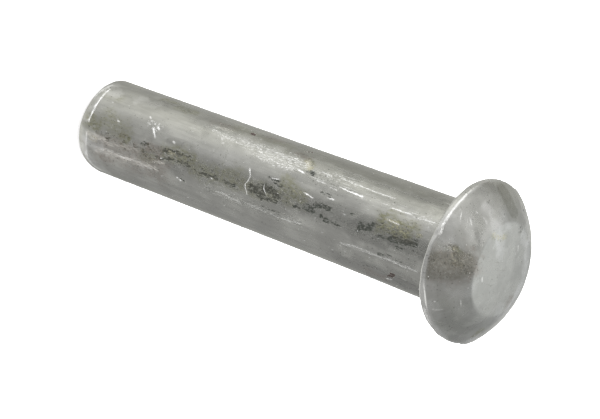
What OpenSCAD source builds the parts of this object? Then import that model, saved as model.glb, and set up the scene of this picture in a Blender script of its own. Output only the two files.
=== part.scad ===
// Round head rivet: a plain shank with a rounded tail and a low domed head, cold headed in one piece.
// It stands on the flat of its tail. The origin is the centre of that flat, and +Z runs along the
// shank towards the head. Every dimension is in millimetres.

/* [Shank] */
// Diameter of the shank
shank_d = 8; // [7:0.1:9]
// Length of the shank, from the flat of the tail to the underside of the head
shank_len = 40; // [20:1:60]
// Radius of the rounded corner round the tail
tail_round = 1.5; // [0.5:0.1:2]

/* [Head] */
// Diameter of the head
head_d = 12.7; // [12:0.1:14]
// Height of the head's straight edge, from its underside to the dome
edge_h = 0.75; // [0.65:0.05:1.5]
// Radius of the rounding between the underside and the straight edge
edge_round = 0.4; // [0.1:0.1:0.6]
// Radius of the dome
dome_r = 8.4; // [7.5:0.1:12]
// Diameter of the flatter crown that the die left on top of the dome
crown_d = 7.2; // [5:0.1:9]
// Rise of the crown, from the crease round it to its middle
crown_rise = 0.3; // [0.1:0.05:0.5]
// Radius of the fillet between the shank and the underside of the head
neck_fillet = 0.4; // [0.1:0.1:0.6]

/* [Hidden] */

$fn = 180;
shank_r = shank_d / 2;
head_r = head_d / 2;
crown_r = crown_d / 2;
// Height of a circle of radius r above its centre, at the distance x from the axis
function arc_height(r, x) = sqrt(r * r - x * x);
// The dome's circle passes through the top of the straight edge
dome_centre = shank_len + edge_h - arc_height(dome_r, head_r);
// The crown's circle passes through the crease on the dome and rises crown_rise above it
crease_z = dome_centre + arc_height(dome_r, crown_r);
crown_arc_r = (crown_r * crown_r + crown_rise * crown_rise) / (2 * crown_rise);
crown_centre = crease_z + crown_rise - crown_arc_r;
top_z = crease_z + crown_rise;

// What a circle of radius r takes off a square corner at [0, 0], seen from inside the corner
module corner_waste(r) {
    difference() {
        translate([-r, -1]) square([r + 1, r + 1]);
        translate([-r, r]) circle(r);
    }
}

// Half section of the shank, with its rounded tail
module shank_section() {
    difference() {
        square([shank_r, shank_len + edge_h]);
        translate([shank_r, 0]) corner_waste(tail_round);
    }
}

// Half section of the head: a straight edge, a dome over it, and the flatter crown
module head_section() {
    difference() {
        intersection() {
            translate([0, shank_len]) square([head_r, top_z - shank_len]);
            translate([0, dome_centre]) circle(dome_r);
            translate([0, crown_centre]) circle(crown_arc_r);
        }
        translate([head_r, shank_len]) corner_waste(edge_round);
    }
}

// Half section of the fillet under the head
module neck_section() {
    difference() {
        translate([shank_r - 1, shank_len - neck_fillet]) square([neck_fillet + 1, neck_fillet + edge_h / 2]);
        translate([shank_r + neck_fillet, shank_len - neck_fillet]) circle(neck_fillet);
    }
}

module rivet() {
    color([0.59, 0.59, 0.56])
        rotate_extrude() {
            shank_section();
            head_section();
            neck_section();
        }
}

rivet();
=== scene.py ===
"""Looks of a round head rivet of dull bare steel, standing on its tail.

One dense turned mesh stands for the rivet. What sets it apart from a true one (an uneven tail, a
leaning head, dents and pits) is in the mesh. Its wear (oxide, rust, scuffs, scratches), with painted
shade and painted highlights, is in masks on the mesh, which the steel's nodes read. Lengths are in
millimetres until the mesh is written in metres.
"""
import math
from types import SimpleNamespace

import bpy
import numpy as np
from mathutils import Matrix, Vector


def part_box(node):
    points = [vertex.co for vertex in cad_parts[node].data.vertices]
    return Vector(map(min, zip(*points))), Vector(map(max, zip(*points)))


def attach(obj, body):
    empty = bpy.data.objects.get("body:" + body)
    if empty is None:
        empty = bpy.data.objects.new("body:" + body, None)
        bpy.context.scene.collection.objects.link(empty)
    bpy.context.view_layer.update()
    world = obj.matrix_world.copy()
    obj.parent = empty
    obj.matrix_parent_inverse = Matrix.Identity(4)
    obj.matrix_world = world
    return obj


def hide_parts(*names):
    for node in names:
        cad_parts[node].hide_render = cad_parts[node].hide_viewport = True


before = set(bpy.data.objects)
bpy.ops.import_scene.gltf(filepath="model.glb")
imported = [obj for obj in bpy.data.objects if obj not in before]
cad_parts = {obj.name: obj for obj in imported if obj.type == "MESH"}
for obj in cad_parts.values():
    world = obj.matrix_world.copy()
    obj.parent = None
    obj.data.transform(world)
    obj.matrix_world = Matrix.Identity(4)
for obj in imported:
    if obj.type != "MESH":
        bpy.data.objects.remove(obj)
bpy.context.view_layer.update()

MM = 0.001

# --- the rivet's form, in millimetres
BOX_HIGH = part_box("rivet")[1]
HEAD_R = BOX_HIGH.x / MM
TOTAL_H = BOX_HIGH.z / MM
SHANK_R = 4.0
SHANK_LEN = 40.0
TAIL_ROUND = 1.5
NECK_FILLET = 0.4
EDGE_ROUND = 0.4
EDGE_H = 0.75
DOME_R = 8.4
CROWN_R = 3.6
EDGE_TOP = SHANK_LEN + EDGE_H
DOME_CENTRE = EDGE_TOP - math.sqrt(DOME_R**2 - HEAD_R**2)
CREASE_Z = DOME_CENTRE + math.sqrt(DOME_R**2 - CROWN_R**2)
CROWN_RISE = TOTAL_H - CREASE_Z
CROWN_ARC_R = (CROWN_R**2 + CROWN_RISE**2) / (2 * CROWN_RISE)
CROWN_CENTRE = TOTAL_H - CROWN_ARC_R

# --- the photograph's camera
PHOTO_W, PHOTO_H = 600, 419
SENSOR_W = 36.0
VIEW_OFF_AXIS = math.radians(53.1)  # between the rivet's axis and the line to the camera
AXIS_TURN = math.radians(20.66)  # the axis in the picture, below the horizontal
UNDER_HEAD_PX = (471.22, 259.34)  # where the centre of the head's underside falls
SHANK_D_PX = 106.5  # the shank's diameter in the picture, at that centre's distance
DISTANCE_IN_SHANKS = 21.65  # from the camera to that centre, along its line of sight
PX_PER_MM = SHANK_D_PX / (2 * SHANK_R)
CAMERA_DISTANCE = DISTANCE_IN_SHANKS * 2 * SHANK_R
FOCAL_PX = PX_PER_MM * CAMERA_DISTANCE
HEAD_LEAN = math.radians(2.9)  # the head sits a little askew on the shank, towards -X
NECK = np.array((0.0, 0.0, SHANK_LEN))


def camera_axes():
    """Rows: the rivet's X, Y and Z, seen in the camera's frame (right, up, back)."""
    z = np.array((
        math.sin(VIEW_OFF_AXIS) * math.cos(AXIS_TURN),
        -math.sin(VIEW_OFF_AXIS) * math.sin(AXIS_TURN),
        math.cos(VIEW_OFF_AXIS),
    ))
    x = np.array((-math.sin(AXIS_TURN), -math.cos(AXIS_TURN), 0.0))
    return np.array((x, np.cross(z, x), z))


def line_through(px, py):
    """Direction in the camera's frame of the photograph's pixel (px, py), one unit deep."""
    return np.array((
        (px - (PHOTO_W - 1) / 2) / FOCAL_PX,
        -(py - (PHOTO_H - 1) / 2) / FOCAL_PX,
        -1.0,
    ))


TO_WORLD = camera_axes()
CAMERA_AT = NECK - TO_WORLD @ line_through(*UNDER_HEAD_PX) * CAMERA_DISTANCE


def add_object(name, data):
    made = bpy.data.objects.new(name, data)
    bpy.context.scene.collection.objects.link(made)
    return made


def make_camera():
    data = bpy.data.cameras.new("camera")
    data.sensor_width = SENSOR_W
    data.lens = FOCAL_PX / PHOTO_W * SENSOR_W
    data.clip_start = 0.01
    data.clip_end = 20.0
    camera = add_object("camera", data)
    camera.matrix_world = Matrix.Translation(CAMERA_AT * MM) @ Matrix(TO_WORLD).to_4x4()
    bpy.context.scene.camera = camera


def turn_y(vectors, angle):
    """Rows of x, y, z turned about Y, so that +Z goes towards -X."""
    c, s = np.cos(angle), np.sin(angle)
    x, y, z = vectors.T
    return np.stack([x * c - z * s, y, x * s + z * c], axis=-1)


def in_picture(points):
    """Pixel of the photograph, and depth in mm, of each point."""
    seen = (points - CAMERA_AT) @ TO_WORLD
    depth = -seen[:, 2]
    px = seen[:, 0] / depth * FOCAL_PX + (PHOTO_W - 1) / 2
    py = -seen[:, 1] / depth * FOCAL_PX + (PHOTO_H - 1) / 2
    return px, py, depth


class Pointer:
    """Finds what shows at a pixel of the photograph, as a point of the plain turned form."""

    REACH_PX = 2.5
    SAME_SURFACE = 1.0  # mm of depth within which vertices count as one surface
    FACING = 5.0  # mm that the line to the camera rises off a vertex, at least
    NEAREST = 4  # vertices that a point is averaged from

    def __init__(self, plain, shaped, normals):
        faces_camera = np.einsum("ij,ij->i", normals, CAMERA_AT - shaped) > self.FACING
        self.plain = plain[faces_camera]
        self.px, self.py, self.depth = in_picture(shaped[faces_camera])

    def at(self, px, py):
        away = np.hypot(self.px - px, self.py - py)
        close = np.flatnonzero(away < self.REACH_PX)
        if not len(close):
            raise ValueError(f"no part of the rivet shows at pixel {px}, {py}")
        front = close[self.depth[close] < self.depth[close].min() + self.SAME_SURFACE]
        best = front[np.argsort(away[front])[: self.NEAREST]]
        weight = 1 / (away[best] + 0.05) ** 2
        return weight @ self.plain[best] / weight.sum()


# --- noise
def lattice(cell, seed):
    """A repeatable random value from -1 to 1 for each whole-numbered cell, one row of x, y, z each."""
    c = cell.astype(np.int64)
    h = (c[:, 0] * 73856093) ^ (c[:, 1] * 19349663) ^ (c[:, 2] * 83492791) ^ (seed * 2654435761)
    h = (h ^ (h >> 13)) * 1274126177 & 0xFFFFFFFF
    h = (h ^ (h >> 16)) & 0xFFFF
    return h / 32767.5 - 1


def noise(points, size, seed):
    """Smooth noise from -1 to 1 with lumps of that size, one number or one for each axis."""
    p = points / np.asarray(size, float)
    cell = np.floor(p)
    f = p - cell
    f = f * f * (3 - 2 * f)
    total = np.zeros(len(p))
    for corner in np.ndindex(2, 2, 2):
        share = np.prod(np.where(corner, f, 1 - f), axis=1)
        total += share * lattice(cell + corner, seed)
    return total


def layered(points, size, seed, layers=3):
    """Noise with finer, weaker layers on top."""
    size = np.asarray(size, float)
    return sum(noise(points, size / 2**k, seed + k) / 2**k for k in range(layers))


def ramp(value, low, high):
    """0 at low, 1 at high, smooth between."""
    t = np.clip((value - low) / (high - low), 0, 1)
    return t * t * (3 - 2 * t)


def from_axis(points):
    """Distance of each point from the Z axis, never quite 0."""
    return np.maximum(np.hypot(points[:, 0], points[:, 1]), 1e-6)


def moved_out(points, more):
    """Each point moved away from the Z axis by so much."""
    scale = 1 + more / from_axis(points)
    return points * np.stack([scale, scale, np.ones(len(points))], axis=-1)


# --- the turned form
AROUND = 236  # vertices round the rivet
RING_STEP = 0.13  # between rings along the shank and over the head
FINE_STEP = 0.09  # between rings on the small roundings
INNER_R = 0.12  # of the tail's innermost ring
POLE_GAP = 0.1  # rings closer to the axis are left out
CROWN_END = 89.8  # degrees up to which the crown has rings


def arc(centre_r, centre_z, radius, start, end, step):
    """Rings (r, z) on an arc from start to end degrees, without its first point."""
    count = max(2, round(abs(math.radians(end - start)) * radius / step))
    turns = np.radians(np.linspace(start, end, count + 1)[1:])
    return [(centre_r + radius * math.cos(t), centre_z + radius * math.sin(t)) for t in turns]


def straight(start, end, step):
    """Rings (r, z) on a straight stretch from start to end, without its first point."""
    count = max(1, round(math.dist(start, end) / step))
    return [
        (start[0] + (end[0] - start[0]) * k / count, start[1] + (end[1] - start[1]) * k / count)
        for k in range(1, count + 1)
    ]


def section():
    """The half section from the middle of the tail to the top of the crown, as rings (r, z)."""
    flat_r = SHANK_R - TAIL_ROUND
    neck = (SHANK_R + NECK_FILLET, SHANK_LEN)
    dome_low = math.degrees(math.atan2(EDGE_TOP - DOME_CENTRE, HEAD_R))
    dome_high = math.degrees(math.atan2(CREASE_Z - DOME_CENTRE, CROWN_R))
    crown_low = math.degrees(math.atan2(CREASE_Z - CROWN_CENTRE, CROWN_R))
    rings = [(INNER_R, 0.0)]
    rings += straight(rings[-1], (flat_r, 0.0), RING_STEP)
    rings += arc(flat_r, TAIL_ROUND, TAIL_ROUND, -90, 0, FINE_STEP)
    rings += straight(rings[-1], (SHANK_R, SHANK_LEN - NECK_FILLET), RING_STEP)
    rings += arc(neck[0], SHANK_LEN - NECK_FILLET, NECK_FILLET, 180, 90, FINE_STEP)
    rings += straight(rings[-1], (HEAD_R - EDGE_ROUND, SHANK_LEN), RING_STEP * 1.5)
    rings += arc(HEAD_R - EDGE_ROUND, SHANK_LEN + EDGE_ROUND, EDGE_ROUND, -90, 0, FINE_STEP)
    rings += straight(rings[-1], (HEAD_R, EDGE_TOP), FINE_STEP)
    rings += arc(0, DOME_CENTRE, DOME_R, dome_low, dome_high, RING_STEP)
    rings += arc(0, CROWN_CENTRE, CROWN_ARC_R, crown_low, CROWN_END, RING_STEP)
    return np.array([ring for ring in rings if ring[0] > POLE_GAP])


def turned(rings):
    """Vertices and outward normals of the section turned about Z, ring after ring, then both poles."""
    before, after = np.roll(rings, 1, axis=0), np.roll(rings, -1, axis=0)
    before[0], after[-1] = (0.0, rings[0, 1]), (0.0, TOTAL_H)
    tangent = after - before
    tangent /= np.linalg.norm(tangent, axis=1)[:, None]
    turn = np.linspace(0, 2 * np.pi, AROUND, endpoint=False)
    c, s = np.cos(turn), np.sin(turn)

    def spin(r, z):
        return np.stack([np.outer(r, c), np.outer(r, s), np.outer(z, np.ones(AROUND))], axis=-1)

    points = spin(rings[:, 0], rings[:, 1]).reshape(-1, 3)
    normals = spin(tangent[:, 1], -tangent[:, 0]).reshape(-1, 3)
    poles = np.array([(0, 0, 0), (0, 0, TOTAL_H)])
    return np.vstack([points, poles]), np.vstack([normals, [(0, 0, -1), (0, 0, 1)]])


def faces(ring_count):
    """Quads between rings, and a fan of triangles at each pole."""
    sides = [(j, (j + 1) % AROUND) for j in range(AROUND)]
    last = (ring_count - 1) * AROUND
    bottom, top = last + AROUND, last + AROUND + 1
    made = [
        (a + j, a + k, a + AROUND + k, a + AROUND + j) for a in range(0, last, AROUND) for j, k in sides
    ]
    for j, k in sides:
        made += [(bottom, k, j), (top, last + j, last + k)]
    return made


# --- wear, placed by the photograph
# The strokes of each kind: (half width in 0.01 mm, strength in %, pixels of the photograph on its path).
# Some kinds of stroke are painted shade or painted highlights, as their names say.
STROKES = {}
STROKES["oxide"] = [
    # tail
    (11, 90, (101, 132.5), (105, 136.5), (109, 138.5)), (12, 80, (122, 141), (124.5, 142.5)),
    (17, 90, (141, 142.5), (147, 143.5)), (17, 100, (133, 145), (139, 147)),
    (16, 70, (139, 148), (143, 152), (146, 156)), (12, 70, (147, 145), (151, 150)),
    (11, 60, (153, 147), (156, 151)), (15, 100, (156, 157.4), (163, 158), (173, 158.8)),
    (28, 100, (164.5, 150.5), (172, 151.5), (179, 154)), (18, 90, (168, 157), (174, 159), (180, 162.5)),
    (20, 70, (181, 154), (190, 157)), (18, 70, (182, 161), (189, 166)), (12, 70, (193, 166), (195, 170)),
    (12, 60, (148, 169.5), (150, 171)), (11, 80, (179, 177.5), (184, 180)),
    # middle
    (22, 100, (201, 173), (207, 174.5), (216, 178)), (16, 90, (224, 181), (229, 184), (234, 184.5)),
    (40, 100, (251, 187), (257, 189), (263, 190)), (32, 100, (262, 187), (272, 192), (279, 197)),
    (24, 90, (262, 184.5), (270, 186)), (20, 90, (303, 204), (311, 205.5)),
    (24, 90, (258, 196), (266, 199), (275, 201)), (15, 90, (268, 177), (273, 178.5), (279, 181)),
    (16, 90, (275, 183), (281, 186)), (15, 100, (292, 205.5), (302, 207.5)),
    (32, 100, (303, 207), (312, 209)), (26, 100, (313, 205), (322, 206), (329, 209)),
    (16, 90, (319, 216), (326, 218)), (18, 80, (323, 221), (332, 222), (340, 225.5)),
    (20, 50, (305, 211), (316, 212)), (16, 70, (321, 192), (330, 196)), (16, 70, (272, 214), (277, 218)),
    (10, 70, (226, 193), (231, 196)), (10, 80, (262, 206), (270, 209.5), (279, 213)),
    # near the head
    (36, 100, (358, 226.8), (364, 226.8), (371, 227.4)), (20, 80, (371, 225), (382, 223.5)),
    (13, 100, (375, 236), (381, 236.5), (391, 238)),
    (34, 100, (391, 239), (400, 240.3), (409, 242), (415, 243.5)), (15, 70, (394, 246), (400, 247.5)),
    (11, 80, (377, 253.5), (384, 254), (391, 256)), (10, 70, (395, 260.5), (403, 262), (414, 265)),
    (12, 80, (417.5, 234), (422, 236)), (16, 80, (417.5, 234.6), (421, 236)),
    (12, 70, (350, 213), (356, 215)), (30, 100, (309.5, 170.5), (312.6, 172.4)),
    (26, 80, (307.5, 170.8), (312.5, 172)),
    # fine specks all round them
    (65, 38, (104, 137), (125, 143), (150, 153), (182, 160)),
    (80, 40, (200, 172), (232, 181), (262, 190), (285, 198)), (70, 40, (296, 204), (330, 212), (352, 222)),
    (80, 40, (356, 226), (388, 236), (418, 246)), (35, 42, (205, 188), (240, 202), (282, 216), (302, 222)),
    (35, 38, (205, 125), (250, 141), (296, 160)), (60, 36, (306, 171), (322, 176), (334, 186)),
    # head
    (80, 45, (440, 256), (462, 261)), (60, 34, (474, 212), (480, 226), (478, 244)),
    (16, 80, (450, 245), (455, 249)), (16, 80, (453, 262), (458, 266)), (12, 70, (460, 257), (463, 261)),
    (10, 90, (452, 251), (454, 256), (456, 259)), (16, 50, (486, 204), (489, 200)),
]
# Smoke films, and painted shade: darker under the head's rim, along the shank's lower edge by the head, in
# a band across the shank's middle, at the crown's edge and over parts of the highlight band
STROKES["smoke_and_shade"] = [
    (30, 60, (83, 121), (85, 124)), (60, 20, (100, 132), (120, 140), (150, 152), (175, 160)),
    (30, 50, (168, 139.5), (181, 144)), (45, 60, (168, 163), (178, 172)),
    (90, 50, (188, 159), (205, 166), (228, 175), (247, 181)), (30, 40, (204, 133.5), (218, 138.5)),
    (70, 50, (248, 186), (270, 193), (284, 200)), (50, 40, (262, 184), (321, 203), (350, 215)),
    (45, 50, (292, 172), (308, 177), (326, 184), (346, 192)), (70, 60, (300, 205), (330, 212), (350, 222)),
    (110, 80, (345, 262), (372, 272), (396, 282), (416, 290)), (30, 40, (346, 175.5), (358, 180)),
    (90, 80, (352, 226), (385, 236), (420, 248)), (60, 50, (368, 250), (385, 257), (408, 265)),
    (40, 35, (372, 192), (392, 200), (412, 207)), (55, 60, (380, 278), (392, 283), (412, 290)),
    (40, 70, (380, 279), (392, 284), (404, 288)), (40, 60, (386, 281.5), (400, 286.5), (414, 291)),
    (30, 100, (389, 281), (395, 282.5)), (60, 50, (420, 196), (438, 202)),
    (30, 80, (430, 257), (440, 256), (452, 256)), (50, 45, (438, 202), (452, 207)),
    (34, 55, (446, 262), (455, 265), (468, 268)), (60, 40, (446, 320), (460, 330), (476, 326)),
    (20, 50, (451, 244), (455, 248)), (45, 45, (452, 337), (466, 339), (480, 333)),
    (130, 22, (462, 200), (476, 192), (492, 192)), (50, 50, (470, 192), (486, 188), (498, 190)),
    (20, 50, (473, 212), (480, 219), (484, 226)), (24, 45, (474, 247), (474.5, 257)),
    (60, 35, (476, 203), (484, 214), (482, 234)), (24, 60, (476, 230), (479, 240), (478, 250)),
]
STROKES["olive"] = [
    (70, 85, (92, 120), (97, 125)), (90, 60, (106, 119), (114, 126), (124, 133)),
    (50, 50, (107, 92), (113, 96), (118, 98)), (40, 100, (120, 136), (128, 138)),
    (60, 70, (143, 153), (150, 157)), (60, 80, (165, 151), (184, 156), (192, 161)),
    (30, 70, (165, 99), (177, 103.5)), (40, 60, (178, 107), (196, 113)),
    (80, 60, (196, 168), (215, 173), (236, 178)), (60, 35, (238, 128), (262, 138), (290, 147)),
    (60, 60, (240, 184), (262, 190), (290, 198)), (70, 80, (285, 184), (293, 190), (300, 196)),
    (40, 80, (308, 160), (311, 167)), (80, 100, (385, 220), (396, 225), (406, 230)),
    (18, 100, (417, 235), (422, 236)), (26, 100, (449, 245), (456, 248), (459, 253)),
    (30, 100, (452, 262), (457, 260), (462, 265)), (26, 80, (493, 235), (499, 238), (505, 236)),
]
STROKES["brown"] = [
    (120, 50, (97, 146), (125, 155), (160, 168)), (60, 60, (100, 141), (116, 146), (132, 151), (140, 154)),
    (35, 80, (100, 156), (108, 159)), (40, 70, (134, 148), (138, 152)),
    (45, 70, (148, 148), (158, 152), (160, 166)), (35, 40, (212, 122), (222, 124), (233, 128)),
    (35, 45, (270, 137), (281, 141)), (30, 50, (296, 153), (303, 156), (308, 158)),
    (40, 50, (367, 271), (384, 278)), (110, 80, (431, 264), (450, 266), (468, 264)),
    (45, 80, (431, 257), (446, 256), (462, 258)), (70, 60, (440, 274), (456, 277)),
    (35, 90, (446, 262), (450, 268)), (30, 50, (447, 243), (453, 247)),
]
STROKES["rust"] = [
    (7, 90, (218, 123.6), (225, 124.6), (231, 125)), (19, 100, (252, 133.4), (254, 134.6)),
    (8, 90, (304, 151), (312.5, 152.2)), (17, 100, (387, 275.6), (390.5, 275), (393.5, 274)),
]
STROKES["pale"] = [
    (35, 100, (88, 132), (95, 136), (103, 137.5)),
    (15, 85, (96.5, 148), (110, 152), (121, 156.5), (135, 161)),
    (42, 60, (97, 149), (120, 157), (146, 165)),
    (22, 65, (99, 138), (107, 142), (116, 144.5), (128, 147), (139, 151)),
    (18, 90, (135, 161), (148, 165.2), (157, 169)), (15, 80, (152, 160), (163, 162.5)),
    (20, 70, (218, 126.5), (232, 131)), (30, 70, (307, 161), (309, 166)),
    (9, 60, (385.5, 277.8), (390.5, 278.8)), (12, 50, (388, 219), (397, 222.5)),
]
# Scuffs, and painted highlights: the lighter, broken highlight band along the shank, and a painted
# reflection on the shank beside the rim
STROKES["scuff_and_highlight"] = [
    (30, 50, (150, 122), (162, 127)), (20, 40, (190, 127), (200, 130)),
    (20, 80, (213, 130), (222, 134), (231, 138.5), (241, 143.5)), (12, 80, (221, 138), (222.5, 143)),
    (40, 95, (241, 142), (251, 145.5), (262, 150), (272, 154)),
    (26, 55, (246, 151), (258, 156), (268, 161), (280, 166), (290, 171)),
    (50, 85, (258, 152), (272, 157), (282, 161), (294, 166)),
    (28, 90, (268, 150), (283, 156), (298, 161), (306, 165)), (16, 50, (289, 152), (298, 155.5)),
    (20, 50, (296, 165), (304, 167)), (30, 50, (316, 170), (326, 174), (338, 180)),
    (24, 40, (316, 178), (324, 182)), (22, 60, (333, 173), (345, 179), (356, 184)),
    (24, 60, (420, 217), (428, 220), (437, 223)), (40, 35, (430, 212), (431, 218), (428, 228)),
]
STROKES["ochre"] = [
    (30, 60, (89, 137), (96, 139)), (30, 30, (107, 93), (113, 97)), (20, 60, (168, 152), (176, 155)),
    (20, 60, (294, 190), (300, 194)), (30, 80, (306, 161), (309, 164), (310, 168)),
    (16, 100, (386, 218.5), (392, 220.5), (398, 223)), (30, 60, (386, 224), (396, 228), (406, 231)),
    (12, 90, (417, 234), (421, 235.5)), (10, 50, (451, 254), (453, 258), (455, 261)),
    (12, 80, (453, 248), (457, 251)), (9, 50, (459, 259), (461, 262)),
    (22, 80, (493, 234), (498, 238), (505, 236)),
]
# Places rubbed smooth and a little lighter, and painted highlights: on the head's edges, on the
# shank beside the rim and along the top of the shank's highlight band
STROKES["polish_and_highlight"] = [
    (60, 100, (84, 150), (88, 158), (96, 165), (106, 171)), (40, 90, (87, 141), (94, 143.5), (101, 146)),
    (55, 90, (110, 91), (117, 92)), (50, 100, (114, 85), (105, 87), (98, 93), (91, 102)),
    (45, 90, (138, 100), (148, 102), (156, 104.5)), (40, 60, (200, 122), (212, 127)),
    (90, 40, (203, 157), (220, 157), (240, 153)), (60, 25, (215, 133), (240, 141), (266, 150)),
    (50, 50, (242, 136), (268, 145), (280, 149)), (35, 80, (427, 318), (433, 328), (442, 336)),
    (55, 60, (430, 284), (430.5, 300), (434, 317)), (30, 90, (431, 238), (427, 247), (424, 256)),
    (60, 50, (446, 286), (458, 290), (470, 290)), (55, 80, (450, 221), (448, 231), (449, 240)),
    (30, 50, (459, 214), (456, 224)), (40, 40, (469, 218), (468, 226), (469, 235)),
    (45, 75, (486, 207), (489, 212)), (60, 50, (491, 222), (487, 238)),
    (70, 80, (496, 226), (498, 236), (500, 248)), (45, 60, (504, 217), (507, 225)),
    (45, 100, (522, 206), (527, 222), (528, 244), (526, 260)),
    (40, 90, (526, 262), (522, 280), (514, 298), (502, 315)),
]
# Painted highlights: bundles of bright hair lines along the shank, on the drawing's scratches
STROKES["hair_line_highlight"] = [
    (35, 60, (96, 148), (125, 158), (150, 167)), (22, 60, (205, 187), (221, 193), (238, 201)),
    (50, 50, (222, 137), (240, 144), (266, 155), (292, 168)), (30, 60, (232, 137), (262, 148), (300, 162)),
    (22, 60, (246, 203), (264, 211), (284, 218), (301, 223)), (35, 50, (296, 168), (316, 176), (336, 184)),
    (40, 70, (334, 182), (350, 189), (366, 196)), (15, 60, (336, 242), (366, 251), (392, 261), (417, 271)),
    (30, 40, (340, 175), (360, 183), (392, 195)), (35, 50, (372, 198), (392, 205), (414, 213)),
    (30, 70, (390, 207), (412, 214), (436, 223)),
]
# Films with a clear edge
STROKES["tarnish"] = [
    (55, 10, (100, 127), (113, 130), (125, 136)), (30, 30, (160, 99.5), (176, 105), (190, 111)),
    (30, 15, (232, 126), (250, 133)), (40, 20, (262, 137), (267, 139)), (40, 20, (285, 146), (289, 148)),
    (130, 36, (312, 149.5), (335, 157.5), (380, 173.2), (432, 191.2)),
    (105, 62, (429, 264), (452, 266), (461, 265)), (90, 15, (440, 310), (452, 322), (466, 328)),
    (75, 62, (504, 191), (509, 202), (512, 209)),
]
# Thin lines: the strength is the tone, from -100, dark, to 100, bright. The bright ones are mostly
# painted highlights: glints, and the highlight lines along the rounded corners of the tail and the rim.
THIN_LINES = [
    (9, 90, (109, 88.7), (103, 94.5), (98, 101)), (11, 100, (98, 101), (94.5, 107), (91.5, 113)),
    (7, 80, (91.5, 113), (88.5, 120)), (5, 45, (86.5, 132), (85.8, 140), (85.8, 150), (87.2, 156)),
    (16, 50, (85, 151), (88, 159), (94, 165.5), (101, 170)),
    (16, 50, (112, 84.5), (105, 87.5), (99, 91.5), (94, 97)), (14, 45, (424, 308), (426, 316), (430, 323)),
    (12, 55, (439, 233), (443, 224), (449, 214)), (10, 50, (449, 214), (458, 202), (466, 194)),
    (11, 80, (152.8, 127.5), (153.6, 131.5), (154.4, 136)), (10, 90, (157.6, 127), (159, 128.6)),
    (8, 80, (149.6, 116.6), (150.4, 117.4)), (8, 80, (173.2, 141.4), (174, 142)),
    (7, 90, (176.4, 176.8), (177, 177.2)), (7, 90, (179.6, 179.3), (180.2, 179.7)),
    (7, 70, (117.4, 120.4), (118.2, 121)), (6, 80, (210.6, 177.6), (211.4, 178.2)),
    (7, 75, (249.2, 168.6), (249.7, 172.5), (249.6, 176.7)),
    (5.5, 65, (249.6, 176.7), (247.3, 180.8), (244.3, 183.9), (245.3, 189), (246.3, 193)),
    (5, 60, (263.7, 184.9), (263.2, 189), (265.2, 193)),
    (6.5, 100, (304, 192.6), (308, 194.6), (311.6, 197)),
    (6.5, 100, (298, 169.3), (300, 170.4), (302.8, 172.2)), (5.5, 80, (271, 177.5), (278, 178.8)),
    (5.5, 80, (328, 197.5), (333, 199)), (7, 80, (340, 186.8), (347, 190.4)),
    (7.5, 90, (347, 190.4), (362, 196)), (6, 40, (341, 178), (353, 182.5)), (6, 70, (354, 183), (374, 191)),
    (6, 60, (372, 190.5), (394, 198)), (6, 75, (391.8, 207.6), (411, 213.8)),
    (6, 60, (423.3, 219), (434, 222.5)), (5.5, 60, (322, 171.5), (331, 175.5)),
    (6, 60, (317, 180), (325, 183)), (5, 35, (330, 187), (336, 189.5)),
    (5, 70, (343.5, 213.7), (344.5, 214.3)), (4.5, 50, (388, 219.5), (398, 224)),
    (5, 40, (221, 192), (229, 196)), (5, 35, (231, 198), (239, 201.5)),
    (5, 25, (249, 205.3), (258, 208.4), (265, 211.6)), (5, 30, (270, 213), (277, 217)),
    (5, 35, (281, 218), (290, 221), (300, 223.5)),
    (4.5, 40, (340, 242.3), (352.5, 245.2), (366, 250.5), (376.5, 255.7)),
    (4.5, 45, (376.5, 255.7), (390.8, 260.5), (399.4, 264.8), (409, 268.2), (416.7, 271.5)),
    (5.5, 35, (460.4, 301), (460.6, 305.5)), (5.5, 50, (481.8, 277.5), (481.8, 280.5)),
    (5.5, 40, (517.5, 246), (517.8, 250)), (7, 80, (86, 150.3), (86.4, 151.3)),
    (6.5, 80, (386, 277.8), (390.5, 278.8)), (6, -50, (471, 213), (475, 217)),
    (6, -50, (478, 214), (481, 219)), (5.5, -50, (474, 221), (478, 224)), (6, -50, (480, 223), (484, 228)),
    (6, -40, (466, 222), (465, 229)), (5, 40, (476, 211), (479, 214)), (5, 40, (484, 218), (486, 222)),
    (5, 40, (470, 219), (471, 224)), (5, 40, (461, 212), (460, 218)),
    (6, 22, (433, 309), (437, 309.6), (441, 309.2)), (4.5, -35, (494, 262), (501, 262.5)),
    (4.5, -35, (497, 270), (504, 270)), (4.5, -30, (486, 284), (492, 285)),
    (9.5, -70, (338, 168.6), (351.6, 173.3), (370, 180.5), (390, 187.6)),
    (8.5, -70, (384, 184.5), (397, 190), (411, 195), (427, 200.5)),
    (5, -80, (249, 201), (263.7, 206), (276, 210.4), (292, 218)), (5, -60, (432, 320.5), (443, 322.7)),
    (4.5, -60, (346.8, 214.8), (355.4, 215.4)), (4.5, -50, (227, 149.5), (225.5, 156), (224, 162)),
    (6, -70, (158.5, 100), (165, 101.5), (176, 106), (190, 111.5)),
    (6, -30, (212, 124.5), (228, 131), (246, 139), (262, 145)),
]
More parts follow.
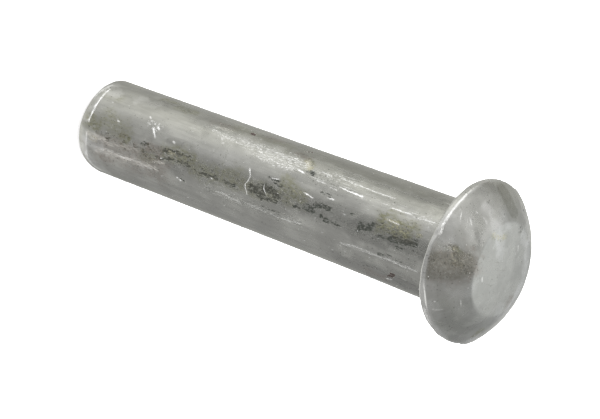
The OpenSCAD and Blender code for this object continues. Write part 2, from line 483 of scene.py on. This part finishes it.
# The same kinds of wear on the side that the photograph doesn't show, strewn there by a fixed draw:
# (seed, how many, in how many groups, half width from, to, strength from, to, length from, to), in mm.
BACK = {
    "oxide": (12, 44, 7, 0.1, 0.34, 0.7, 1.0, 0.3, 1.8),
    "smoke_and_shade": (17, 9, 9, 0.5, 0.9, 0.4, 0.8, 2.0, 7.0),
    "olive": (22, 14, 7, 0.3, 0.9, 0.5, 0.9, 1.0, 5.0),
    "brown": (32, 8, 5, 0.3, 0.8, 0.5, 0.8, 0.5, 3.0),
    "rust": (42, 5, 5, 0.07, 0.18, 0.8, 1.0, 0.1, 0.6),
    "pale": (52, 7, 3, 0.12, 0.3, 0.7, 1.0, 2.0, 8.0),
    "scuff_and_highlight": (62, 12, 4, 0.15, 0.4, 0.6, 1.0, 1.0, 5.0),
    "ochre": (102, 8, 4, 0.1, 0.3, 0.6, 1.0, 0.2, 1.2),
    "hair_line_highlight": (82, 9, 5, 0.2, 0.45, 0.6, 0.9, 3.0, 9.0),
    "tarnish": (92, 7, 7, 0.4, 1.0, 0.2, 0.4, 0.5, 6.0),
    "line": (72, 26, 9, 0.045, 0.075, 0.6, 1.0, 0.3, 3.0),
}
# And on the dome's far side: (seed, how many, half width from, to).
BACK_DOME = {
    "oxide": (13, 7, 0.12, 0.3),
    "olive": (23, 5, 0.2, 0.5),
    "brown": (33, 3, 0.5, 1.0),
    "polish_and_highlight": (73, 6, 0.3, 0.7),
}
GROUP_SPREAD = 9.0, 1.6  # of a group: degrees round the shank, mm along it
GROUP_REACH = 78, 2.0, 3.0  # of their middles: degrees either way, mm off the tail and the head
BACK_HALF = 82  # degrees to either side of +Y that strokes keep to
BACK_BEND = 0.04  # how far a stroke wanders round the shank, in radians
BACK_DARK_LINES = 7  # of the thin lines there, the first ones are dark
DOME_PATCH = (3.0, 6.2), (0.1, 0.6), (0.5, 0.9)  # distance from the axis, length outwards, strength


def seen(table, pointer):
    """Strokes of a table, with their pixels turned into points of the rivet."""
    return [
        (width / 100, strength / 100, np.array([pointer.at(*pixel) for pixel in path]))
        for width, strength, *path in table
    ]


def on_shank(turn, z):
    return SHANK_R * math.cos(turn), SHANK_R * math.sin(turn), min(max(z, 0.4), SHANK_LEN - 0.5)


def strewn(seed, count, groups, narrow, wide, weak, strong, short, long):
    """Strokes on the back of the shank, in loose groups, along it and hardly across."""
    draw = np.random.default_rng(seed)
    reach, low, below_head = GROUP_REACH
    turns = draw.uniform(-reach, reach, groups)
    middles = np.stack([turns, draw.uniform(low, SHANK_LEN - below_head, groups)], axis=-1)
    made = []
    for k in range(count):
        degrees, z = middles[k % groups] + draw.normal(0, 1, 2) * GROUP_SPREAD
        turn = math.radians(90 + min(max(degrees, -BACK_HALF), BACK_HALF))
        run = draw.uniform(short, long)
        bend = draw.uniform(-BACK_BEND, BACK_BEND, 3)
        path = [on_shank(turn + bend[j], z + run * (j - 1) / 2) for j in range(3)]
        made.append((draw.uniform(narrow, wide), draw.uniform(weak, strong), np.array(path)))
    return made


def strewn_on_dome(seed, count, narrow, wide):
    """Small patches on the dome's far side."""
    draw = np.random.default_rng(seed)
    distance, length, strength = DOME_PATCH
    made = []
    for _ in range(count):
        turn = math.radians(90 + draw.uniform(-80, 80))
        r = draw.uniform(*distance) + np.array((0.0, draw.uniform(*length)))
        z = DOME_CENTRE + np.sqrt(DOME_R**2 - np.minimum(r, HEAD_R) ** 2)
        path = np.stack([r * math.cos(turn), r * math.sin(turn), z], axis=-1)
        made.append((draw.uniform(narrow, wide), draw.uniform(*strength), path))
    return made


DULL_TAIL = 2.0, 15.0  # the tail is duller up to the first height, fading to the second
# A stroke's edge: full within and gone beyond so many half widths, and how much it wavers
SOFT = 0.4, 1.5, 0.5
CRISP = 0.88, 1.08, 0.16


def stroke_mask(points, strokes, edge, seed):
    """The strongest of the strokes at each point."""
    full, gone, unrest = edge
    waver = 1 + unrest * layered(points, (0.35, 0.35, 0.6), seed)
    mask = np.zeros(len(points))
    for half_width, strength, path in strokes:
        away = np.full(len(points), np.inf)
        for a, b in zip(path[:-1], path[1:]):
            along = b - a
            t = np.clip((points - a) @ along / max(along @ along, 1e-9), 0, 1)
            away = np.minimum(away, np.linalg.norm(points - a - t[:, None] * along, axis=1))
        away = away / (half_width * np.maximum(waver, 0.2))
        mask = np.maximum(mask, strength * (1 - ramp(away, full, gone)))
    return mask


LINE_REACH = 0.16, 0.28  # a thin line's fields hold within the first, end at the second
LINE_END = 0.14


def line_fields(points, normals, lines):
    """Tone of the nearest thin line, and the signed distance from its middle in half widths."""
    tone, side = np.zeros(len(points)), np.full(len(points), 6.0)
    nearest = np.full(len(points), np.inf)
    for half_width, strength, path in lines:
        last = len(path) - 2
        for k, (a, b) in enumerate(zip(path[:-1], path[1:])):
            length = np.linalg.norm(b - a)
            along = (b - a) / length
            offset = points - a
            t = offset @ along
            before = np.maximum(-t, 0) * (k == 0)
            after = np.maximum(t - length, 0) * (k == last)
            away = np.linalg.norm(offset - np.clip(t, 0, length)[:, None] * along, axis=1)
            closer = away < nearest
            fade = (1 - ramp(away, *LINE_REACH)) * (1 - ramp(before + after, 0, LINE_END))
            across = np.einsum("ij,ij->i", offset, np.cross(along, normals)) / half_width
            tone = np.where(closer, strength * fade, tone)
            side = np.where(closer, np.clip(across, -6, 6), side)
            nearest = np.minimum(nearest, away)
    return tone, side


def rim_wear_and_highlight(points):
    """The head's edge, rubbed brighter than the rest, with a painted highlight along its upper corner."""
    radius, z = from_axis(points), points[:, 2]
    away_from_camera = ramp(points[:, 1] / radius, 0.2, 0.8)
    band = ramp(radius, HEAD_R - 0.25, HEAD_R - 0.05) * (1 - ramp(z, EDGE_TOP, EDGE_TOP + 0.12))
    unrest = 1 + 0.6 * noise(points, 0.7, 161)
    reach = (0.17 + 0.22 * away_from_camera) * unrest
    corner = 1 - ramp(np.hypot(radius - HEAD_R, z - EDGE_TOP) / reach, 0.3, 1.0)
    return np.maximum(0.85 * band, corner) * (z > SHANK_LEN)


def make_masks(points, normals, pointer):
    masks = {}
    for k, (name, table) in enumerate(STROKES.items()):
        strokes = seen(table, pointer)
        if name in BACK:
            strokes += strewn(*BACK[name])
        if name in BACK_DOME:
            strokes += strewn_on_dome(*BACK_DOME[name])
        masks[name] = stroke_mask(points, strokes, CRISP if name == "tarnish" else SOFT, 100 * k)
    masks["shank"] = 1 - ramp(points[:, 2], SHANK_LEN - 0.4, SHANK_LEN)
    masks["dull_tail"] = 1 - ramp(points[:, 2], *DULL_TAIL)
    lines = seen(THIN_LINES, pointer)
    for k, (half_width, strength, path) in enumerate(strewn(*BACK["line"])):
        lines.append((half_width, -strength if k < BACK_DARK_LINES else strength, path))
    masks["line_tone"], masks["line_side"] = line_fields(points, normals, lines)
    masks["rim"] = rim_wear_and_highlight(points)
    return masks


# --- departures from the true form
TAIL_CORNER = 1.63, 0.45, -0.8  # height of the tail's corner: mean, then more on +X, on +Y
TAIL_TAKE = 2.3, -0.85, -0.6  # how far it takes in the radius, in the same way
TAIL_BEVEL = 0.15  # how much flatter than an arc the corner is where it starts
TAIL_ZONE = 9.0  # height over which the shank's rings make room for it
# Out of round: by how much at most, in which direction, in degrees from +X towards +Y, and how far to
# either side of it
RIM_SWELL = 0.42, -60, 45  # the head's rim stands out
RIM_THIN = 0.3, -88, 42  # the head's straight edge is thinner
CROWN_SPREAD = 0.33, -42, 56  # the crease round the crown stands out
NECK_UPSET = 0.05, 0.03, 0.0  # how much wider the shank is at the head: mean, more on +X, on +Y
UPSET_FROM = 26.0  # height at which that starts
# Uneven surface: height of its bumps, their size, seed
SHANK_WAVES = 0.012, (2.6, 2.6, 9.0), 101
SHANK_RIDGES = 0.004, (0.5, 0.5, 5.0), 111
HEAD_DENTS = 0.02, 1.8, 121
SKIN = 0.006, 0.5, 131
RIM_BUMPS = 0.035, 0.9, 141
RIM_NICKS = 0.06, 0.8, 151
OXIDE_DEPTH = 0.02
RUST_DEPTH = 0.015
PALE_HEIGHT = 0.008


def by_side(points, mean, more_x, more_y):
    """A quantity that changes smoothly round the rivet."""
    radius = from_axis(points)
    return mean + more_x * points[:, 0] / radius + more_y * points[:, 1] / radius


def uneven_tail(points):
    """Cuts the tail's corner unevenly: its rounding is taller and deeper on some sides."""
    radius, z = from_axis(points), points[:, 2]
    height, take = by_side(points, *TAIL_CORNER), by_side(points, *TAIL_TAKE)
    in_corner = z < TAIL_ROUND
    upper = height + (z - TAIL_ROUND) * (TAIL_ZONE - height) / (TAIL_ZONE - TAIL_ROUND)
    new_z = np.where(in_corner, z * height / TAIL_ROUND, np.where(z < TAIL_ZONE, upper, z))
    flat_r = SHANK_R - TAIL_ROUND
    down = np.clip(1 - z / TAIL_ROUND, 0, 1)
    corner_r = SHANK_R - (SHANK_R - radius) * take / TAIL_ROUND - TAIL_BEVEL * down * (1 - down)
    flat_part = radius * (SHANK_R - take) / flat_r
    new_r = np.where(radius < flat_r, flat_part, corner_r)
    scale = np.where(in_corner, new_r / radius, 1.0)
    return np.stack([points[:, 0] * scale, points[:, 1] * scale, new_z], axis=-1)


def near_turn(points, degrees, reach):
    """1 in one direction from the axis, smoothly down to 0 so many degrees to either side."""
    away = np.arctan2(points[:, 1], points[:, 0]) - math.radians(degrees)
    away = (away + math.pi) % (2 * math.pi) - math.pi
    return 1 - ramp(np.abs(away), 0, math.radians(reach))


def spread_crown(points):
    """Moves the crease round the crown out a little on one side."""
    most, *where = CROWN_SPREAD
    radius = from_axis(points)
    share = near_turn(points, *where) * (points[:, 2] > EDGE_TOP)
    share = share * ramp(radius, 0.5, CROWN_R) * (1 - ramp(radius, CROWN_R, HEAD_R))
    return moved_out(points, most * share)


def thin_rim(points):
    """Lowers the dome's foot on one side, so that the head's straight edge is thinner there."""
    most, *where = RIM_THIN
    share = near_turn(points, *where)
    share = share * ramp(points[:, 2], SHANK_LEN, EDGE_TOP) * ramp(from_axis(points), CROWN_R, HEAD_R)
    return points - share[:, None] * np.array((0.0, 0.0, most))


def upset_neck(points):
    """Widens the shank slightly towards the head, where the blow squashed it."""
    z = points[:, 2]
    under_head = (z < SHANK_LEN + 0.01) * (1 - ramp(from_axis(points), SHANK_R + 0.1, SHANK_R + 0.8))
    return moved_out(points, by_side(points, *NECK_UPSET) * ramp(z, UPSET_FROM, SHANK_LEN) * under_head)


def swollen_rim(points):
    """Moves the head's rim out a little on one side, where the metal flowed further."""
    most, *where = RIM_SWELL
    share = near_turn(points, *where)
    share = share * ramp(from_axis(points), SHANK_R + 0.8, HEAD_R) * (points[:, 2] > SHANK_LEN - 0.1)
    return moved_out(points, most * share)


def bumps(points, height, size, seed):
    return height * layered(points, size, seed)


def relief(points, masks):
    """How far each point stands out of the turned form."""
    z = points[:, 2]
    shank_share = ramp(z, 0.3, 2.0) * (1 - ramp(z, SHANK_LEN - 1.0, SHANK_LEN))
    head_share = ramp(z, SHANK_LEN, SHANK_LEN + 0.5)
    nick_depth, nick_size, nick_seed = RIM_NICKS
    height = shank_share * (bumps(points, *SHANK_WAVES) + bumps(points, *SHANK_RIDGES))
    height += head_share * bumps(points, *HEAD_DENTS) + bumps(points, *SKIN)
    height += masks["rim"] * bumps(points, *RIM_BUMPS)
    height -= masks["rim"] * nick_depth * ramp(noise(points, nick_size, nick_seed), 0.45, 0.8)
    height -= OXIDE_DEPTH * masks["oxide"] + RUST_DEPTH * masks["rust"]
    return height + PALE_HEIGHT * masks["pale"]


def lean_head(points):
    """Turns the head about the neck, as it was set a little askew."""
    share = ramp(points[:, 2], SHANK_LEN - 1.0, SHANK_LEN)
    return NECK + turn_y(points - NECK, HEAD_LEAN * share)


def shaped(points):
    """The turned form with its departures, without the relief."""
    return lean_head(swollen_rim(thin_rim(spread_crown(upset_neck(uneven_tail(points))))))


def make_rivet(material):
    rings = section()
    points, normals = turned(rings)
    pointer = Pointer(points, shaped(points), normals)
    masks = make_masks(points, normals, pointer)
    points = shaped(points + normals * relief(points, masks)[:, None])
    points[:, 2] = np.maximum(points[:, 2], 0.0)
    mesh = bpy.data.meshes.new("rivet_steel")
    mesh.from_pydata((points * MM).tolist(), [], faces(len(rings)))
    mesh.polygons.foreach_set("use_smooth", [True] * len(mesh.polygons))
    for name, mask in masks.items():
        mesh.attributes.new(name, "FLOAT", "POINT").data.foreach_set("value", mask.astype(np.float32))
    mesh.materials.append(material)
    mesh.update()
    piece = add_object("rivet_steel", mesh)
    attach(piece, "root")
    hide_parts("rivet")


# --- materials
class Nodes:
    """A short way to add nodes to a material or world and join them."""

    def __init__(self, tree):
        self.tree = tree
        tree.nodes.clear()

    def feed(self, socket, value):
        """Links a socket to another one, or sets it to a constant."""
        if isinstance(value, bpy.types.NodeSocket):
            self.tree.links.new(value, socket)
        else:
            socket.default_value = value

    def add(self, kind, inputs=None, **settings):
        node = self.tree.nodes.new(kind)
        for name, value in settings.items():
            setattr(node, name, value)
        for name, value in (inputs or {}).items():
            self.feed(node.inputs[name], value)
        return node

    def math(self, operation, a, b=0.0, clamp=False):
        node = self.add("ShaderNodeMath", {0: a, 1: b}, operation=operation, use_clamp=clamp)
        return node.outputs[0]

    def plus(self, a, b, clamp=False):
        return self.math("ADD", a, b, clamp)

    def minus(self, a, b, clamp=False):
        return self.math("SUBTRACT", a, b, clamp)

    def times(self, a, b, clamp=False):
        return self.math("MULTIPLY", a, b, clamp)

    def larger(self, a, b):
        return self.math("MAXIMUM", a, b)

    def span(self, value, low, high, to_low=0.0, to_high=1.0):
        node = self.add(
            "ShaderNodeMapRange",
            {"Value": value, "From Min": low, "From Max": high, "To Min": to_low, "To Max": to_high},
            interpolation_type="SMOOTHSTEP",
        )
        return node.outputs[0]

    def mix(self, share, a, b, blend="MIX"):
        node = self.add("ShaderNodeMix", data_type="RGBA", blend_type=blend)
        for name, value in (("Factor_Float", share), ("A_Color", a), ("B_Color", b)):
            self.feed(next(s for s in node.inputs if s.identifier == name), value)
        return next(s for s in node.outputs if s.identifier == "Result_Color")

    def mask(self, name):
        return self.add("ShaderNodeAttribute", attribute_name=name).outputs["Fac"]

    def towards(self, direction, axis):
        """Share of a direction along an axis."""
        node = self.add("ShaderNodeVectorMath", {0: direction, 1: axis}, operation="DOT_PRODUCT")
        return node.outputs["Value"]

    def lumps(self, place, across, along, detail, rough=0.55):
        """Noise in lumps of so many millimetres across and along the shank."""
        scale = (1 / MM / across, 1 / MM / across, 1 / MM / along)
        vector = self.add("ShaderNodeMapping", {"Vector": place, "Scale": scale}).outputs[0]
        settings = {"Vector": vector, "Scale": 1.0, "Detail": detail, "Roughness": rough}
        return self.add("ShaderNodeTexNoise", settings).outputs["Fac"]


STEEL_LIGHT = (0.77, 0.77, 0.712, 1)
STEEL_DARK = (0.53, 0.53, 0.49, 1)
STEEL_STREAK = (0.5, 0.5, 0.462, 1)
RUBBED_AND_HIGHLIGHT = (0.9, 0.9, 0.86, 1)
BARE_AND_GLINT = (0.93, 0.93, 0.92, 1)
SOOT = (0.13, 0.13, 0.115, 1)
BROWN_OXIDE = (0.115, 0.103, 0.08, 1)  # where the brown or the olive film lies
# The layers of wear, painted shade and painted highlights over the steel, from the lowest to the top one
LAYERS = {
    # painted shade, with some smoke film
    "smoke_and_shade": (0.36, 0.36, 0.335, 1),
    "olive": (0.42, 0.42, 0.275, 1),
    "brown": (0.45, 0.395, 0.345, 1),
    "tarnish": (0.36, 0.36, 0.305, 1),
    "pale": (0.82, 0.79, 0.72, 1),
    # polish, scuff and rim: rubbed steel, and painted highlights
    "polish_and_highlight": RUBBED_AND_HIGHLIGHT,
    "scuff_and_highlight": RUBBED_AND_HIGHLIGHT,
    "rim": RUBBED_AND_HIGHLIGHT,
    "oxide": (0.06, 0.065, 0.055, 1),
    "ochre": (0.46, 0.435, 0.32, 1),
    "prick": SOOT,
    "rust": (0.045, 0.031, 0.025, 1),
    "dark": SOOT,
    "nick": BARE_AND_GLINT,
    # painted highlights: glints, bright thin lines, hair lines and scuff sparkles
    "bright": BARE_AND_GLINT,
}


def film(n, name, grain, even):
    """A soft film (wear, painted shade, painted highlight): at least so even, thicker and thinner with the
    grain.
    """
    return n.times(n.mask(name), n.span(grain, 0.0, 1.0, even), clamp=True)


def speckled(n, name, grain, low, high):
    """Wear and painted highlights broken up by grain, the more so where its mask is weak."""
    raised = n.plus(n.times(n.mask(name), 1.45), n.minus(grain, 1.0))
    return n.span(raised, low, high)


def steel_grain(n):
    """The steel's noises by name, some of them spread to shares from 0 to 1."""
    place = n.add("ShaderNodeTexCoord").outputs["Object"]
    grain = n.lumps(place, 0.2, 0.42, 4.0, 0.62)
    fine_streaks = n.lumps(place, 0.09, 1.2, 3.0)
    return SimpleNamespace(
        place=place,
        grain=grain,
        grainy=n.span(grain, 0.32, 0.68),
        fine_streaks=fine_streaks,
        streaky=n.span(fine_streaks, 0.32, 0.68),
        streaks=n.lumps(place, 0.28, 5.0, 4.0),
        blotches=n.lumps(place, 1.5, 3.0, 4.0),
        dust=n.lumps(place, 0.16, 0.2, 2.0),
        fleck=n.lumps(place, 0.11, 0.17, 2.0),
        nicks=n.lumps(place, 0.13, 0.3, 1.0),
        scratchy=n.span(n.lumps(place, 0.07, 0.55, 4.0, 0.7), 0.36, 0.64),
        patchy=n.span(n.lumps(place, 0.12, 0.42, 4.0, 0.6), 0.34, 0.66),
        sparks=n.span(n.lumps(place, 0.075, 0.2, 3.0, 0.6), 0.52, 0.62),
        hairs=n.span(n.lumps(place, 0.05, 1.5, 3.0, 0.6), 0.55, 0.66),
    )


def thin_lines(n, place):
    """How much of a bright and of a dark thin line there is; the bright ones are mostly painted highlights.
    """
    tone = n.mask("line_tone")
    side = n.math("ABSOLUTE", n.mask("line_side"))
    waver = n.span(n.lumps(place, 0.25, 0.25, 2.0), 0.3, 0.7, 0.7, 1.6)
    broken = n.span(n.lumps(place, 0.2, 0.3, 2.0), 0.35, 0.55, 0.5)
    core = n.times(n.minus(1.0, n.span(n.times(side, waver), 0.3, 1.5)), broken)
    bright = n.times(n.larger(tone, 0.0), core)
    dark = n.times(n.larger(n.times(tone, -1.0), 0.0), core)
    return bright, dark


def oxide_share(n, g):
    """Dark oxide with flecks of bare steel in it, and a trace of it all over its patch."""
    oxide = speckled(n, "oxide", g.patchy, 0.12, 0.85)
    oxide = n.times(oxide, n.span(g.fleck, 0.54, 0.68, 1.0, 0.35))
    oxide = n.times(oxide, n.span(g.grain, 0.35, 0.55, 0.72))
    return n.plus(oxide, n.times(n.mask("oxide"), 0.12), clamp=True)


def steel_wear(n, g):
    """The share of each kind of wear, of painted shade and of painted highlights."""
    cloud = n.span(g.blotches, 0.35, 0.65)
    bright, dark = thin_lines(n, g.place)
    # painted glints in the scuffs, and painted highlights along the hair lines
    spark = n.times(n.span(n.mask("scuff_and_highlight"), 0.1, 0.7), n.times(g.sparks, g.scratchy))
    hair = n.times(n.mask("hair_line_highlight"), n.times(g.hairs, n.span(g.blotches, 0.3, 0.55, 0.4, 0.9)))
    dirt_and_shade = n.plus(n.mask("smoke_and_shade"), n.plus(n.mask("olive"), n.mask("brown")))
    return {
        "oxide": oxide_share(n, g),
        "smoke_and_shade": film(n, "smoke_and_shade", cloud, 0.45),
        "olive": film(n, "olive", g.grainy, 0.25),
        "brown": film(n, "brown", g.grainy, 0.4),
        "tarnish": film(n, "tarnish", g.grainy, 0.7),
        "polish_and_highlight": film(n, "polish_and_highlight", cloud, 0.45),
        "ochre": n.times(speckled(n, "ochre", g.grainy, 0.1, 0.9), 0.55),
        "pale": n.times(speckled(n, "pale", g.scratchy, 0.1, 1.0), 0.55),
        "scuff_and_highlight": n.times(speckled(n, "scuff_and_highlight", g.scratchy, 0.35, 0.95), 0.7),
        "rust": speckled(n, "rust", g.grainy, 0.2, 0.6),
        "rim": n.times(n.mask("rim"), n.span(g.grain, 0.25, 0.55, 0.6)),
        "prick": n.span(n.plus(g.dust, n.times(dirt_and_shade, 0.07)), 0.66, 0.74, 0.0, 0.6),
        "nick": n.span(g.nicks, 0.74, 0.8, 0.0, 0.6),
        "bright": n.larger(bright, n.larger(spark, hair)),
        "dark": dark,
    }


def steel_colour(n, g, wear):
    """Cloudy, streaky steel under its wear, painted shade and painted highlights, from the lowest layer to
    the top one.
    """
    shank = n.mask("shank")
    cloudy = n.times(n.plus(n.times(shank, 0.35), 0.45), n.span(g.blotches, 0.3, 0.7))
    cloudy = n.plus(cloudy, n.times(n.minus(1.0, shank), 0.18))
    colour = n.mix(n.plus(cloudy, 0.1), STEEL_DARK, STEEL_LIGHT)
    colour = n.mix(n.times(n.span(g.streaks, 0.4, 0.72, 0.0, 0.55), shank), colour, STEEL_STREAK)
    browned = n.larger(n.mask("brown"), n.times(n.mask("olive"), 0.4))
    layers = LAYERS | {"oxide": n.mix(browned, LAYERS["oxide"], BROWN_OXIDE)}
    for name, layer in layers.items():
        colour = n.mix(wear[name], colour, layer)
    return colour


def steel_metal(n, wear, dull):
    """Less metallic where rust, powder, flakes, painted glints or dull wear cover the steel."""
    powder = n.plus(n.times(wear["pale"], 0.5), n.times(wear["ochre"], 0.6))
    flakes_and_glints = n.plus(wear["bright"], n.plus(wear["nick"], powder), clamp=True)
    metal = n.minus(1.0, n.times(wear["rust"], 0.9))
    metal = n.minus(metal, n.times(flakes_and_glints, 0.45))
    return n.minus(metal, n.times(dull, 0.35), clamp=True)


def steel_roughness(n, g, dull):
    roughness = n.span(g.blotches, 0.3, 0.7, 0.17, 0.28)
    roughness = n.plus(roughness, n.times(g.streaky, 0.05))
    roughness = n.plus(roughness, n.times(n.mask("dull_tail"), 0.13))
    return n.plus(roughness, n.times(dull, 0.2), clamp=True)


def steel_bump(n, g, wear):
    """Drawing streaks, mostly on the shank, with grain, sunken oxide and rough scuffs."""
    height = n.plus(n.times(g.streaks, 0.5), n.times(g.fine_streaks, 0.15))
    height = n.times(height, n.plus(n.times(n.mask("shank"), 0.85), 0.15))
    height = n.plus(height, n.times(g.grain, 0.18))
    height = n.minus(height, n.times(wear["oxide"], 0.25))
    height = n.plus(height, n.times(n.mask("scuff_and_highlight"), n.times(g.scratchy, 0.22)))
    bump = n.add("ShaderNodeBump", {"Height": height, "Strength": 0.6, "Distance": 0.02 * MM})
    return bump.outputs["Normal"]


def new_material(name):
    material = bpy.data.materials.new(name)
    material.use_nodes = True
    return material, Nodes(material.node_tree)


def steel_material():
    material, n = new_material("dull_steel")
    g = steel_grain(n)
    wear = steel_wear(n, g)
    dull = n.plus(n.plus(wear["oxide"], wear["rust"]), wear["dark"], clamp=True)
    parts = {
        "Base Color": steel_colour(n, g, wear),
        "Metallic": steel_metal(n, wear, dull),
        "Roughness": steel_roughness(n, g, dull),
        "Normal": steel_bump(n, g, wear),
    }
    shader = n.add("ShaderNodeBsdfPrincipled", parts)
    n.add("ShaderNodeOutputMaterial", {"Surface": shader.outputs[0]})
    return material


# --- studio
FLOOR_RADIUS = 3.0  # in metres, like the light's size and place
FLOOR_GLOW = 0.6  # keeps the shadow on the pale floor as faint as in the photograph
SURROUND = 0.34  # brightness of the dark studio above and behind
# Brightness of the studio's walls: degrees from the camera's side, towards -X
STUDIO_WALLS = [
    (-180, 0.72), (-165, 0.46), (-140, 0.35), (-105, 0.38), (-72, 0.41), (-48, 0.42), (-34, 0.37),
    (-14, 0.35), (-2, 0.38), (10, 0.49), (22, 0.57), (34, 0.66), (46, 0.76), (58, 0.79), (72, 0.77),
    (83, 0.59), (95, 0.47), (120, 0.46), (148, 0.47), (164, 0.56),
]
# Soft panels: degrees from the camera's side towards -X, degrees up, full within and gone beyond
# so many degrees of their middle, brightness
PANELS = [
    (90, 50, 26, 48, 0.64),
    (145, 10, 16, 34, 0.45),
    (178, 36, 20, 38, 0.52),
    (165, 44, 8, 24, 0.72),
    (112, 52, 8, 20, 0.7),
    (-62, 0, 12, 30, 0.85),
    (62, 5, 22, 42, 0.95),
]
BELOW = 0.5, 0.8  # brightness from straight below, on the -X and the +X side
WARM = (1.0, 1.0, 0.965, 1)  # from low down on the far upper side
PLAIN = (1.0, 1.0, 1.01, 1)
COOL = (0.98, 1.0, 1.025, 1)  # from above the far side
LOW_SIDE = (-0.5, 0.5, -0.6)  # direction that the warm light comes from,
HIGH_SIDE = (0.2, 0.8, 0.55)  # and the cool light
LIGHT_SIZE = 0.9
LIGHT_POWER = 10.0
LIGHT_AT = (-0.1, -0.15, 0.6)


def aim(turn, up):
    """Direction at so many degrees from the camera's side towards -X, and so many up."""
    turn, up = math.radians(turn), math.radians(up)
    return -math.sin(turn) * math.cos(up), -math.cos(turn) * math.cos(up), math.sin(up)


def grey(level):
    return level, level, level, 1


def studio_walls(n, parts):
    """The walls' brightness by direction round the rivet."""
    turn = n.math("ARCTAN2", n.times(parts[0], -1.0), n.times(parts[1], -1.0))
    turn = n.plus(n.math("DIVIDE", turn, 2 * math.pi), 0.5)
    walls = n.add("ShaderNodeValToRGB", {"Fac": turn})
    stops = walls.color_ramp.elements
    while len(stops) > 1:
        stops.remove(stops[-1])
    for k, (degrees, level) in enumerate(STUDIO_WALLS + [(180, STUDIO_WALLS[0][1])]):
        stop = stops[0] if k == 0 else stops.new(degrees / 360 + 0.5)
        stop.position = degrees / 360 + 0.5
        stop.color = grey(level)
    return walls.outputs["Color"]


def make_world():
    world = bpy.data.worlds.new("studio")
    bpy.context.scene.world = world
    world.use_nodes = True
    n = Nodes(world.node_tree)
    direction = n.add("ShaderNodeTexCoord").outputs["Generated"]
    parts = n.add("ShaderNodeSeparateXYZ", {0: direction}).outputs
    studio = n.mix(n.span(parts[2], -0.25, 0.15), studio_walls(n, parts), grey(SURROUND))
    below = n.mix(n.span(parts[0], -0.35, 0.15), grey(BELOW[0]), grey(BELOW[1]))
    studio = n.mix(n.span(parts[2], -0.74, -0.9), studio, below)
    for turn, up, full, gone, level in PANELS:
        near = n.towards(direction, aim(turn, up))
        share = n.span(near, math.cos(math.radians(gone)), math.cos(math.radians(full)))
        studio = n.mix(share, studio, grey(level))
    tint = n.mix(n.span(n.towards(direction, LOW_SIDE), 0.25, 0.6), PLAIN, WARM)
    tint = n.mix(n.span(n.towards(direction, HIGH_SIDE), 0.45, 0.9), tint, COOL)
    studio = n.mix(1.0, studio, tint, blend="MULTIPLY")
    seen_straight = n.add("ShaderNodeLightPath").outputs["Is Camera Ray"]
    colour = n.mix(seen_straight, studio, grey(1.0))
    background = n.add("ShaderNodeBackground", {"Color": colour, "Strength": 1.0})
    n.add("ShaderNodeOutputWorld", {"Surface": background.outputs[0]})


def make_floor():
    material, n = new_material("pale_floor")
    shader = n.add("ShaderNodeBsdfDiffuse", {"Color": (0.9, 0.9, 0.9, 1)})
    glow = n.add("ShaderNodeEmission", {"Color": (1, 1, 1, 1), "Strength": FLOOR_GLOW})
    both = n.add("ShaderNodeAddShader", {0: shader.outputs[0], 1: glow.outputs[0]})
    n.add("ShaderNodeOutputMaterial", {"Surface": both.outputs[0]})
    mesh = bpy.data.meshes.new("floor")
    rim = [
        (FLOOR_RADIUS * math.cos(t), FLOOR_RADIUS * math.sin(t), 0.0)
        for t in np.linspace(0, 2 * math.pi, 64, endpoint=False)
    ]
    mesh.from_pydata(rim, [], [tuple(range(len(rim)))])
    mesh.materials.append(material)
    floor = add_object("floor", mesh)
    floor.visible_glossy = False


def make_light():
    data = bpy.data.lights.new("overhead", "AREA")
    data.shape = "DISK"
    data.size = LIGHT_SIZE
    data.energy = LIGHT_POWER
    light = add_object("overhead", data)
    light.location = LIGHT_AT
    light.rotation_mode = "QUATERNION"
    light.rotation_quaternion = light.location.to_track_quat("Z", "Y")
    light.visible_glossy = False


make_camera()
make_world()
make_floor()
make_light()
make_rivet(steel_material())
bpy.context.scene.view_settings.view_transform = "Standard"

bpy.context.view_layer.update()
